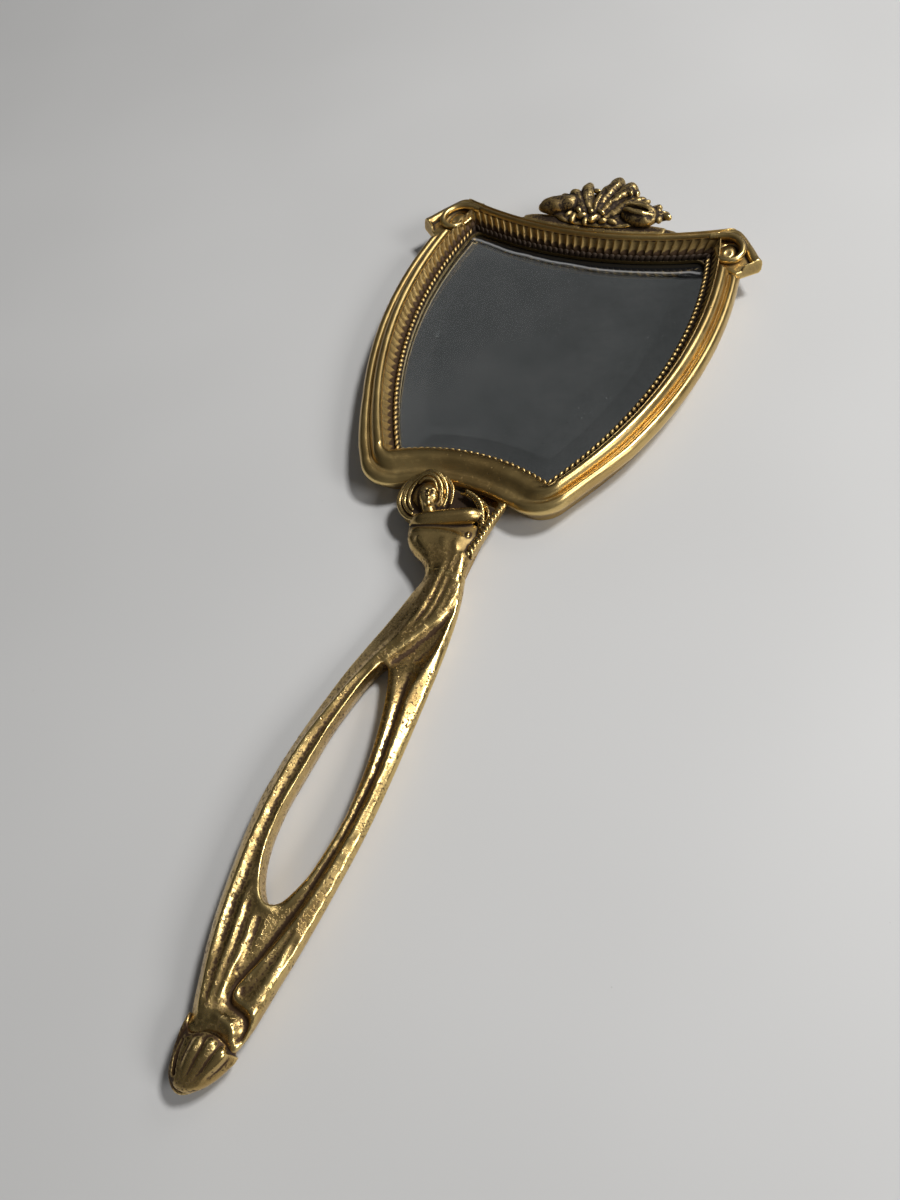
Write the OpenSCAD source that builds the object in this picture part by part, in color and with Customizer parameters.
// Hand mirror: a shield-shaped brass surround with a bevelled plate, a flower crest
// and a drapery handle with a long loop. Lies face up on its back plate, +Z up.
// Plan points are written about the middle of the opening's bottom chord, and
// placed() moves them so that the origin is the middle of the mirror's own box.

/* [Opening] */
// Half width of the opening at the top corners
sight_top = 38.3; // [34:0.1:42]
// Half width of the opening at the bottom corners
sight_bottom = 22.1; // [18:0.1:26]
// Height of the opening, corner to corner
sight_height = 94.6; // [85:0.1:105]
// How far each side bows outward
side_bow = 9.1; // [5:0.1:12]
// How far the top edge sags toward the glass
top_sag = 6.1; // [3:0.1:8]
// How far the bottom edge rises into the glass
bottom_rise = 4.3; // [2:0.1:6]

// How much deeper the bottom rail is at its left end
rail_lean = 3.2; // [0:0.1:3.4]

/* [Glass and backing] */
// Height of the back of the glass above the rest plane
glass_z = 3.0; // [2.8:0.1:3.4]
// Thickness of the glass at its middle
glass_thickness = 2.8; // [2.4:0.1:2.9]
// Thickness of the glass at its bevelled edge
glass_edge = 1.2; // [1:0.1:1.3]
// How far the bevel reaches in past the opening's edge
bevel_reach = 8.5; // [6:0.1:10]
// How far the glass runs under the lip
glass_lap = 2.4; // [1.8:0.1:2.4]
// Thickness of the back plate
plate_thickness = 1.2; // [1:0.1:1.2]

/* [Ornament] */
// Flutes along each long side
side_flutes = 38; // [24:1:44]
// Flutes along the top
top_flutes = 32; // [20:1:36]
// Beads along each long side
side_beads = 52; // [30:1:56]
// Beads along the top
top_beads = 42; // [24:1:44]
// Beads along the bottom
bottom_beads = 25; // [16:1:28]

/* [Handle] */
// Height of the handle's top over the loop
loop_top_z = 7.8; // [7:0.1:9]
// Lift of the handle's end above the rest plane
tip_lift = 1.6; // [0.6:0.1:3]

/* [Fastenings] */
// Radius of the back plate screws' threads
screw_r = 0.8; // [0.6:0.05:0.9]
// Radius of the handle screws' threads
handle_screw_r = 1.2; // [1:0.05:1.4]
// Radius of the pins in the crest and the figure
pin_r = 0.9; // [0.7:0.05:1]

/* [Hidden] */
$fn = 32;
gap = 0.1;                      // clearance between neighbouring pieces
origin_shift = [0, 21.5, 0];    // puts the origin at the middle of the mirror's box

brass = "#a58a4a";
dark_brass = "#7d6533";
steel = "#8d8f92";

module placed() { translate(origin_shift) children(); }

// ---- outlines ---------------------------------------------------------------

// Circle through the ends of a chord of half length h with sagitta s
function sagitta_radius(h, s) = (h * h + s * s) / (2 * s);

side_chord = [sight_top - sight_bottom, sight_height];
side_half = norm(side_chord) / 2;
side_r = sagitta_radius(side_half, side_bow);
side_normal = [side_chord.y, -side_chord.x] / (2 * side_half);
side_mid = [(sight_top + sight_bottom) / 2, sight_height / 2];
side_c = side_mid - (side_r - side_bow) * side_normal;
top_r = sagitta_radius(sight_top, top_sag);
top_c = [0, sight_height - top_sag + top_r];
bottom_r = sagitta_radius(sight_bottom, bottom_rise);
bottom_c = [0, bottom_rise - bottom_r];

function angle_of(v) = atan2(v.y, v.x);
function polar(c, r, a) = c + r * [cos(a), sin(a)];
function mirrored(points) = [for (p = points) [-p.x, p.y]];
function reversed(list) = [for (i = [len(list) - 1:-1:0]) list[i]];

// Where two circles cross, on the right-hand side of the line from a to b
function circles_meet(a, ra, b, rb) =
    let (d = norm(b - a), u = (b - a) / d, along = (d * d + ra * ra - rb * rb) / (2 * d))
    a + along * u + sqrt(ra * ra - along * along) * [u.y, -u.x];

function side_top_corner(ds, dt) = circles_meet(side_c, side_r + ds, top_c, top_r - dt);
function side_bottom_corner(ds, db) = circles_meet(bottom_c, bottom_r - db, side_c, side_r + ds);

// Points of an arc from angle a0 to a1, the last one left out
function arc(c, r, a0, a1, n) = [for (i = [0:n - 1]) polar(c, r, a0 + (a1 - a0) * i / n)];

// Right half of the shield, set out by ds, dt and db from the opening's side, top and
// bottom, with corner radii rt and rb; from the bottom's middle up to the top's middle
function half_shield(ds, dt, db, rt, rb, n) =
    let (rs = side_r + ds, ru = top_r - dt, rd = bottom_r - db,
         low = circles_meet(bottom_c, rd + rb, side_c, rs - rb),
         high = circles_meet(side_c, rs - rt, top_c, ru + rt),
         a_low = angle_of(low - side_c), a_high = angle_of(high - side_c),
         b_low = angle_of(low - bottom_c), t_high = angle_of(high - top_c))
    concat(arc(bottom_c, rd, 90, b_low, n[0]),
           arc(low, rb, b_low - 180, a_low, n[1]),
           arc(side_c, rs, a_low, a_high, n[2]),
           arc(high, rt, a_high, t_high + 180, n[3]),
           arc(top_c, ru, t_high, -90, n[4]),
           [top_c - [0, ru]]);

ring_n = [10, 4, 20, 4, 13];    // points on the bottom, corner, side, corner and top

function shield(ds, dt, db, rt, rb) =
    let (right = half_shield(ds, dt, db, rt, rb, ring_n))
    concat(right, reversed(mirrored([for (i = [1:len(right) - 2]) right[i]])));

// Weights of the side, the top and the bottom at each point of a ring
function half_weights() =
    concat([for (i = [1:ring_n[0]]) [0, 0, 1]],
           [for (i = [0:ring_n[1] - 1]) let (t = i / ring_n[1]) [t, 0, 1 - t]],
           [for (i = [1:ring_n[2]]) [1, 0, 0]],
           [for (i = [0:ring_n[3] - 1]) let (t = i / ring_n[3]) [1 - t, t, 0]],
           [for (i = [0:ring_n[4]]) [0, 1, 0]]);
ring_weights = let (w = half_weights()) concat(w, reversed([for (i = [1:len(w) - 2]) w[i]]));

function share(x) = min(1, max(0, x));

// The bottom rail is deeper at its left end than at its right
function leaned(p, db) =
    let (side = sign(p.x) * max(0, abs(p.x) - 12) / 34)
    p.y + rail_lean * side * share((db - 4.6) / 8) * share((14 - p.y) / 16);

// A ring row is [ds, zs, dt, zt, db, zb, rt, rb]: offset and height on the side, the top
// and the bottom, and the two corner radii
function ring(row) =
    let (plan = shield(row[0], row[2], row[4], row[6], row[7]))
    [for (i = [0:len(plan) - 1])
        [plan[i].x, leaned(plan[i], row[4]), ring_weights[i] * [row[1], row[3], row[5]]]];

// A row with the same offset and height all round
function even(d, z, rt, rb) = [d, z, d, z, d, z, rt, rb];

function flatten(lists) = [for (l = lists) each l];

// Faces of a tube whose rings wrap both along and around
function torus_faces(rings, n) =
    [for (i = [0:rings - 1]) for (j = [0:n - 1])
        let (a = i * n + j, b = i * n + (j + 1) % n,
             c = (i + 1) % rings * n + (j + 1) % n, d = (i + 1) % rings * n + j)
        each [[a, b, c], [a, c, d]]];

// Faces of a capped tube of rings
function tube_faces(rings, n) =
    concat([for (i = [0:rings - 2]) for (j = [0:n - 1])
                let (a = i * n + j, b = i * n + (j + 1) % n)
                each [[a, b, b + n], [a, b + n, a + n]]],
           [[for (j = [n - 1:-1:0]) j]],
           [[for (j = [0:n - 1]) (rings - 1) * n + j]]);

module ring_solid(rows) {
    rings = [for (row = rows) ring(row)];
    polyhedron(flatten(rings), torus_faces(len(rings), len(rings[0])), convexity = 8);
}

module shield_plate(d, rt, rb, z0, z1) {
    translate([0, 0, z0]) linear_extrude(z1 - z0) polygon(shield(d[0], d[1], d[2], rt, rb));
}

// Smooth closed or open curve through key points
function spline_at(p0, p1, p2, p3, t) =
    0.5 * (2 * p1 + (p2 - p0) * t + (2 * p0 - 5 * p1 + 4 * p2 - p3) * t * t
           + (3 * p1 - p0 - 3 * p2 + p3) * t * t * t);
function closed_spline(keys, n) =
    let (m = len(keys))
    [for (i = [0:m - 1]) for (k = [0:n - 1])
        spline_at(keys[(i + m - 1) % m], keys[i], keys[(i + 1) % m], keys[(i + 2) % m], k / n)];
function open_spline(keys, n) =
    let (m = len(keys))
    concat([for (i = [0:m - 2]) for (k = [0:n - 1])
                spline_at(keys[max(i - 1, 0)], keys[i], keys[i + 1], keys[min(i + 2, m - 1)],
                          k / n)],
           [keys[m - 1]]);

// ---- frame ------------------------------------------------------------------

lip_z = glass_z + 1.7;          // underside of the lip
ledge_z = lip_z + 1;            // top of the lip, under the slip and the beads
rebate = glass_lap + 1.2;       // wall round the edge of the glass
rim_z = 0.15;                   // back edge of the frame, just clear of the rest plane
plate_seat = plate_thickness + gap;

frame_rows = [
    even(0.3, lip_z, 3, 0.8),
    even(0.3, ledge_z, 3, 0.8),
    [4.6, ledge_z, 4.6, ledge_z, 2.1, ledge_z, 2, 1],
    [4.6, 10.3, 4.6, 10.3, 2.1, 7.2, 2, 1],
    [5.0, 11.0, 4.8, 11.0, 2.9, 8.9, 2, 1],
    [5.9, 11.4, 5.3, 11.3, 4.3, 10.0, 2, 1],
    [6.9, 11.0, 5.8, 11.0, 6.2, 10.2, 2, 2],
    [7.5, 10.1, 6.1, 10.3, 7.8, 9.6, 2, 3],
    [7.9, 9.2, 6.3, 10.2, 9.0, 8.6, 2, 4],
    [8.5, 9.3, 6.6, 10.7, 9.9, 8.2, 2, 5.5],
    [9.5, 9.3, 7.1, 10.6, 11.2, 8.2, 2, 7],
    [10.5, 8.6, 7.6, 9.8, 12.4, 7.6, 2, 8.5],
    [11.2, 7.3, 7.9, 8.0, 13.0, 6.6, 2, 9.5],
    [11.0, 6.0, 7.9, 6.2, 12.8, 5.4, 2, 9.5],
    [10.0, 4.4, 7.7, 4.2, 11.8, 4.0, 2, 9],
    [8.8, 2.8, 7.4, 2.0, 10.6, 2.6, 2, 7.5],
    [8.2, rim_z, 7.2, rim_z, 9.8, rim_z, 2, 6.5],
    [6.6, rim_z, 5.6, rim_z, 4.6, rim_z, 2, 3],
    [6.6, plate_seat, 5.6, plate_seat, 4.6, plate_seat, 2, 3],
    even(rebate, plate_seat, 2, 1),
    even(rebate, lip_z, 2, 1)
];

ear_outline = [[43.2, 99.8], [46.4, 105], [56, 92], [56.2, 90.4], [49.8, 85.2], [45.6, 87]];
volute_at = [45.6, 93];

module ear() {
    translate([0, 0, 5.6]) linear_extrude(4.6) polygon(ear_outline);
    translate([0, 0, 10]) linear_extrude(1.2) offset(delta = -1.4) polygon(ear_outline);
    translate([volute_at.x, volute_at.y, 9]) cylinder(r = 2.6, h = 2.9);
}

module both_sides() {
    children();
    mirror([1, 0, 0]) children();
}

// Back plate screws: two in the top corners and two along each side
screw_offset = 4.9;
screw_spots = concat([side_top_corner(4.9, 2.9)],
                     [for (a = [6, -16]) polar(side_c, side_r + screw_offset, a)]);
screw_depth = 4.2;

module at_screws() {
    both_sides() for (p = screw_spots) translate([p.x, p.y, 0]) children();
}

module frame_casting() {
    color(brass) placed() difference() {
        union() {
            ring_solid(frame_rows);
            both_sides() ear();
        }
        at_screws() translate([0, 0, -1]) cylinder(r = screw_r, h = screw_depth + 1.2);
        translate([tongue_x[0] - gap, -20, -1])
            cube([tongue_x[1] - tongue_x[0] + 2 * gap, 20 + tongue_end + gap, tongue_top + 1 + gap]);
        at_handle_screws() cylinder(r = handle_screw_r, h = handle_screw_top + gap);
        at_crest_pins() cylinder(r = pin_r, h = crest_pin_length);
    }
}

// ---- slip and beads ---------------------------------------------------------

// Stations along the side, the top or the bottom for one offset, corner to corner
function side_span(d, n) =
    let (a0 = angle_of(side_bottom_corner(d, d) - side_c),
         a1 = angle_of(side_top_corner(d, d) - side_c))
    arc(side_c, side_r + d, a0, a1, n);
function top_span(d, n) =
    let (a0 = angle_of(side_top_corner(d, d) - top_c)) arc(top_c, top_r - d, a0, -180 - a0, n);
function bottom_span(d, n) =
    let (a0 = angle_of(side_bottom_corner(d, d) - bottom_c))
    arc(bottom_c, bottom_r - d, 180 - a0, a0, n);

function slip_line(d, z) =
    let (right = side_span(d, 2 * side_flutes), top = top_span(d, 2 * top_flutes),
         left = mirrored(side_span(d, 2 * side_flutes)),
         plan = concat(right, top, mirrored([side_top_corner(d, d)]), reversed(left)))
    [for (p = plan) [p.x, p.y, z]];

slip_foot = 2.1;                // offset of the slip's front at its foot and at its head
slip_head = 3.9;
slip_back = 4.5;
slip_top = 11;
flute_depth = 0.45;

// Every second point from one line and the rest from the other
function alternated(even_points, odd_points) =
    [for (i = [0:len(even_points) - 1]) i % 2 == 0 ? even_points[i] : odd_points[i]];

module fluted_slip() {
    seat = ledge_z + gap / 2;
    lines = [slip_line(slip_foot, seat), slip_line(slip_back, seat), slip_line(slip_back, slip_top),
             alternated(slip_line(slip_head + flute_depth, slip_top - 0.2),
                        slip_line(slip_head, slip_top - 0.1)),
             alternated(slip_line(slip_foot + flute_depth, 6.8), slip_line(slip_foot, 6.9))];
    stations = len(lines[0]);
    color(dark_brass) placed()
        polyhedron([for (i = [0:stations - 1]) for (l = lines) l[i]],
                   tube_faces(stations, len(lines)), convexity = 8);
}

function bead_line(d, z) =
    let (right = side_span(d, 2 * side_beads), top = top_span(d, 2 * top_beads),
         left = mirrored(side_span(d, 2 * side_beads)), bottom = bottom_span(d, 2 * bottom_beads),
         turn = mirrored([side_top_corner(d, d)]),
         plan = concat(right, top, turn, reversed([for (i = [1:len(left) - 1]) left[i]]), bottom))
    [for (p = plan) [p.x, p.y, z]];

bead_dip = 0.45;                // how far the row dips between two beads

module sight_beading() {
    seat = ledge_z + gap / 2;
    lines = [bead_line(0.35, seat), bead_line(1.85, seat),
             alternated(bead_line(1.6, 6.3), bead_line(1.85, 6.6)),
             alternated(bead_line(1.1, 7.25 - bead_dip), bead_line(1.1, 7.25)),
             alternated(bead_line(0.55, 6.3), bead_line(0.3, 6.6))];
    stations = len(lines[0]);
    color(dark_brass) placed()
        polyhedron([for (i = [0:stations - 1]) for (l = lines) l[i]],
                   torus_faces(stations, len(lines)), convexity = 8);
}

// ---- glass and backing ------------------------------------------------------

module mirror_glass() {
    rows = [even(glass_lap, glass_z, 2, 1), even(glass_lap, glass_z + glass_edge, 2, 1),
            even(-bevel_reach, glass_z + glass_thickness, 0.4, 0.4)];
    rings = [for (row = rows) ring(row)];
    color([0.42, 0.45, 0.46]) placed()
        polyhedron(flatten(rings), tube_faces(len(rings), len(rings[0])), convexity = 4);
}

module silver_coat() {
    color("silver") placed()
        shield_plate([1, 1, 1] * (glass_lap - 0.2), 2, 1, glass_z - 0.3, glass_z - gap);
}

// One strip of packing beside the glass along part of each edge
module edge_packing() {
    inner = glass_lap + gap;
    outer = rebate - gap;
    z0 = glass_z - 0.6;
    a_side = [angle_of(side_bottom_corner(inner, inner) - side_c) + 3,
              angle_of(side_top_corner(inner, inner) - side_c) - 3];
    color("peru") placed() translate([0, 0, z0]) linear_extrude(lip_z - gap - z0) {
        both_sides()
            arc_strip(side_c, side_r + inner, side_r + outer, a_side[0], a_side[1]);
        arc_strip(top_c, top_r - outer, top_r - inner, -105, -75);
        arc_strip(bottom_c, bottom_r - outer, bottom_r - inner, 78, 102);
    }
}

module arc_strip(c, r0, r1, a0, a1) {
    n = 24;
    polygon(concat([for (i = [0:n]) polar(c, r0, a0 + (a1 - a0) * i / n)],
                   [for (i = [n:-1:0]) polar(c, r1, a0 + (a1 - a0) * i / n)]));
}

module backing_pad() {
    color("darkslategray") placed()
        shield_plate([1, 1, 1] * (glass_lap - 0.2), 2, 1, plate_seat, glass_z - 0.3 - gap);
}

module back_plate() {
    color(brass) placed() difference() {
        shield_plate([6.5, 5.5, 4.5], 2, 3, 0, plate_thickness);
        at_screws() {
            translate([0, 0, -1]) cylinder(r = screw_r + gap, h = 4);
            translate([0, 0, -0.01])
                cylinder(r1 = screw_head_r, r2 = screw_r + gap, h = screw_head_h);
        }
    }
}

screw_head_r = 1.55;
screw_head_h = 0.8;

// A countersunk slotted screw, its head at z = 0
module slotted_screw(r, head_r, head_h, length) {
    difference() {
        union() {
            cylinder(r1 = head_r - gap / 2, r2 = r - gap / 2, h = head_h);
            cylinder(r = r - gap / 2, h = length);
        }
        translate([-head_r, -0.2, -1]) cube([2 * head_r, 0.4, 1.4]);
    }
}

module back_plate_screws() {
    color(steel) placed() at_screws() translate([0, 0, 0.1])
        slotted_screw(screw_r, screw_head_r, screw_head_h, screw_depth - 0.1);
}

// ---- crest ------------------------------------------------------------------

crest_pin_x = [-12, 12];
crest_pin_z = 6.2;
crest_pin_length = 8.4;
crest_pin_bite = 2.4;           // how far the pins run into the top rail
plinth_top = 8.2;
plinth_step = 1.1;              // the narrower upper step of the plinth
plinth_back = 103.2;            // back of the upper step
spray_z = plinth_top + plinth_step + gap;

// Outer edge of the top rail at x
function rail_back(x) = top_c.y - sqrt(pow(top_r - 8, 2) - x * x);

module at_crest_pins() {
    for (x = crest_pin_x)
        translate([x, rail_back(x) - crest_pin_bite, crest_pin_z]) rotate([-90, 0, 0]) children();
}

plinth_keys = [[27.5, 99.8], [26.5, 103.6], [12, 104.4], [-12, 104.2], [-21, 103.4],
               [-26.5, 100.2]];

module plinth_outline() {
    front = [for (x = [-26:2:27]) [x, rail_back(x) + gap]];
    polygon(concat(front, open_spline(plinth_keys, 4)));
}

module crest_plinth() {
    color(dark_brass) placed() difference() {
        union() {
            translate([0, 0, 1.6]) linear_extrude(plinth_top - 1.6) plinth_outline();
            translate([0, 0, 1.6]) linear_extrude(plinth_top + plinth_step - 1.6) intersection() {
                plinth_outline();
                translate([-24, 90]) square([48.5, plinth_back - 90]);
            }
        }
        at_crest_pins() cylinder(r = pin_r, h = crest_pin_length + gap);
        at_spray_pins() cylinder(r = pin_r, h = spray_pin_length + gap);
    }
}

module crest_pins() {
    color(steel) placed() at_crest_pins() cylinder(r = pin_r - gap / 4, h = crest_pin_length);
}

// Upright pins from the plinth into the spray
spray_pin_spots = [[-6, 100.9], [7, 101]];
spray_pin_length = 5.6;

module at_spray_pins() {
    for (p = spray_pin_spots) translate([p.x, p.y, 5]) children();
}

module spray_pins() {
    color(steel) placed() at_spray_pins() cylinder(r = pin_r - gap / 4, h = spray_pin_length);
}

// An egg of revolution from one point to another
module pod(from, to, r) {
    v = to - from;
    h = norm(v);
    profile = [for (a = [-90:15:90]) [r * cos(a), h / 2 * (1 + sin(a))]];
    translate(from) rotate([0, acos(v.z / h), atan2(v.y, v.x)])
        rotate_extrude($fn = 24) polygon(concat([[0, 0]], profile, [[0, h]]));
}

// Pods and petals of the spray: from, to, radius
spray_eggs = [
    [[-20, 104, 9.6], [-7, 107.5, 11.2], 2.9],
    [[7.5, 102.6, 10.4], [22, 107, 10.4], 3.4],
    [[1, 98.6, 10.4], [-6, 119, 11], 2],
    [[2, 98.6, 10.6], [4, 121.4, 11.6], 2.2],
    [[2.5, 102, 10.5], [12, 116, 12], 2],
    [[-1, 103, 10.6], [-12, 112, 10.6], 1.8],
    [[18, 105, 9.4], [24, 108, 9.6], 1.7]
];
spray_outline = [[-15, 103.4], [-13, 110.5], [-5, 116], [4, 118.4], [12, 114], [19, 109],
                 [17, 103.4], [8, 100.2], [0, 99.4], [-7, 100.2]];

module crest_spray() {
    color(brass) placed() difference() {
        union() {
            translate([0, 0, 5.8]) linear_extrude(5.2) polygon(closed_spline(spray_outline, 3));
            for (e = spray_eggs) pod(e[0], e[1], e[2]);
        }
        translate([-40, 80, -1]) cube([80, 24.6, spray_z + 1]);
        translate([-40, 80, -1]) cube([80, 17.4, 20]);
        at_spray_pins() cylinder(r = pin_r, h = spray_pin_length + gap);
    }
}

// ---- handle -----------------------------------------------------------------

tongue_x = [2, 13];
tongue_end = -1.6;              // the tongue's end, under the bottom rail
tongue_top = 3.2;
handle_screw_spots = [[4.4, -7], [10.6, -7]];
handle_screw_top = 6.4;
figure_pin_spots = [[8.2, -13.5], [8.2, -31]];

module at_handle_screws() {
    for (p = handle_screw_spots) translate([p.x, p.y, 0]) children();
}

module at_figure_pins() {
    for (p = figure_pin_spots) translate([p.x, p.y, 0]) children();
}

// Matching key points round the loop's inner edge and round the handle's outside
loop_keys = [[4.5, -65.9], [4.9, -66.2], [5.8, -68.4], [7.4, -72.5], [9.8, -81.5], [11.2, -92],
             [11.7, -103], [10.9, -112], [9.3, -119.4], [7.4, -124], [6.3, -125.3], [5.2, -125.6],
             [4.1, -125.2], [2.9, -123.9], [0.9, -119.4], [-0.7, -113.5], [-1.5, -105.5],
             [-0.9, -95], [0.2, -84], [2.2, -73.4], [3.4, -68.6], [4.1, -66.2]];
outside_keys = [[8, -34.6], [14, -35.6], [16.4, -46], [17.4, -60], [18.1, -76], [18.6, -91],
                [18.6, -104], [18.1, -114], [17.4, -124], [16, -138], [13.5, -151.4], [7, -152.3],
                [0.4, -150.8], [-3.6, -138], [-6.8, -125], [-8.7, -115], [-9.7, -105],
                [-9.3, -94], [-7.9, -82], [-5.5, -67], [-1.4, -52], [1.8, -36.5]];

// Height of the handle's underside and top at a plan point
function handle_low(y) = 0.4 + tip_lift * max(0, (-60 - y) / 90);
function handle_high(y) = loop_top_z + 1.2 * max(0, 1 - abs(y + 36) / 26)
                          + 0.8 * max(0, 1 - abs(y + 140) / 18) + handle_low(y) - 0.4;

// The handle's section between an inner point a and an outer point b
function handle_section(a, b) =
    let (w = norm(b - a), u = (b - a) / w, lo = handle_low((a.y + b.y) / 2),
         hi = handle_high((a.y + b.y) / 2),
         rows = [[0.7, lo], [w - 0.9, lo], [w - 0.2, lo + 1.2], [w, hi - 3.4], [w - 0.5, hi - 1.4],
                 [w - 1.7, hi - 0.2], [w * 0.62, hi], [w * 0.38, hi - 0.1], [1.5, hi - 0.3],
                 [0.4, hi - 1.4], [0, hi - 3.2], [0.1, lo + 1]])
    [for (r = rows) [a.x + u.x * r[0], a.y + u.y * r[0], r[1]]];

module handle_loop() {
    inner = closed_spline(loop_keys, 4);
    outer = closed_spline(outside_keys, 4);
    sections = reversed([for (i = [0:len(inner) - 1]) handle_section(inner[i], outer[i])]);
    polyhedron(flatten(sections), torus_faces(len(sections), len(sections[0])), convexity = 8);
}

module handle_casting() {
    color(brass) placed() difference() {
        union() {
            handle_loop();
            translate([tongue_x[0], -40, 0.4])
                cube([tongue_x[1] - tongue_x[0], 40 + tongue_end, tongue_top - 0.4]);
        }
        translate([-20, -36.4, tongue_top]) cube([60, 60, 20]);
        at_handle_screws() {
            translate([0, 0, -1]) cylinder(r = handle_screw_r + gap, h = 8);
            translate([0, 0, 0.39])
                cylinder(r1 = 2.2, r2 = handle_screw_r + gap, h = 1.2);
        }
        at_figure_pins() translate([0, 0, -1]) cylinder(r = pin_r, h = 6);
        tip_peg(pin_r + 0.6 + gap / 2);
    }
}

module handle_screws() {
    color(steel) placed() at_handle_screws() translate([0, 0, 0.5])
        slotted_screw(handle_screw_r, 2.2, 1.2, handle_screw_top - 0.5);
}

// ---- figure -----------------------------------------------------------------

figure_base = tongue_top + gap;
torso_keys = [[-2.6, 12.6, -24], [-2.4, 12.8, -28], [1.0, 13, -33.6], [3.6, 13.4, -36.3]];

// A flat-backed rounded section of the torso at y, from x0 to x1
function torso_section(k) =
    let (cx = (k[0] + k[1]) / 2, rx = (k[1] - k[0]) / 2, n = 14)
    [for (i = [0:n - 1]) let (a = 180 * i / (n - 1))
        [cx - rx * cos(a), k[2], figure_base + 6 * pow(sin(a), 0.6)]];

module figure_relief() {
    hair = closed_spline([[-13, -13], [-9.5, -9.4], [-2, -9.2], [6, -11.8], [12.5, -13.4],
                          [13.6, -18], [12.8, -27], [8, -24.5], [0, -21], [-7, -20.5],
                          [-11.5, -20.6]], 4);
    sections = [for (k = open_spline(torso_keys, 3)) torso_section(k)];
    color(brass) placed() difference() {
        union() {
            polyhedron(flatten(sections), tube_faces(len(sections), len(sections[0])),
                       convexity = 4);
            translate([0, 0, figure_base]) linear_extrude(3.6) polygon(hair);
            translate([-6.4, -14.4, 7.9]) sphere(r = 4.6);
            hull() {
                translate([-4.6, -22, 8.6]) sphere(r = 2.4);
                translate([8.6, -17.4, 8.6]) sphere(r = 2.3);
            }
        }
        translate([-30, -60, figure_base - 20]) cube([60, 60, 20]);
        figure_clear_of_rail();
        at_figure_pins() translate([0, 0, -1]) cylinder(r = pin_r, h = 7.1);
    }
}

// Space of the bottom rail that the figure stays clear of
module figure_clear_of_rail() {
    translate([0, 0, -1]) linear_extrude(20) polygon(shield(11.4, 8, 13.1, 2, 4));
}

module figure_pins() {
    color(steel) placed() at_figure_pins() translate([0, 0, 0.6])
        cylinder(r = pin_r - gap / 4, h = 5.2);
}

// ---- tip --------------------------------------------------------------------

tip_from = [6.9, -153.1];
tip_half = 6.4;
tip_length = 11.4;

module tip_peg(r) {
    translate([7, -157, 5.4]) rotate([-90, 0, 0]) cylinder(r = r, h = 12);
}

// The cap's section at a share t of its length
function tip_section(t) =
    let (n = 20, w = tip_half * sqrt(1 - 0.96 * t * t), h = 4.1 * sqrt(1 - 0.9 * t * t),
         mid = tip_lift + 4.3, slant = 0.6 * (1 - t))
    [for (i = [0:n - 1]) let (a = 360 * i / n)
        [tip_from.x - 0.7 * t + w * cos(a), tip_from.y - tip_length * t + slant * cos(a) * -1,
         mid + h * sin(a) - 0.5 * t]];

module tip_cap() {
    rings = [for (t = [1, 0.95, 0.87, 0.76, 0.62, 0.45, 0.25, 0]) tip_section(t)];
    color(brass) placed() {
        polyhedron(flatten(rings), tube_faces(len(rings), len(rings[0])), convexity = 4);
        tip_peg(pin_r + 0.6);
    }
}

frame_casting();
fluted_slip();
sight_beading();
mirror_glass();
silver_coat();
edge_packing();
backing_pad();
back_plate();
back_plate_screws();
crest_plinth();
crest_pins();
crest_spray();
spray_pins();
handle_casting();
handle_screws();
figure_relief();
figure_pins();
tip_cap();
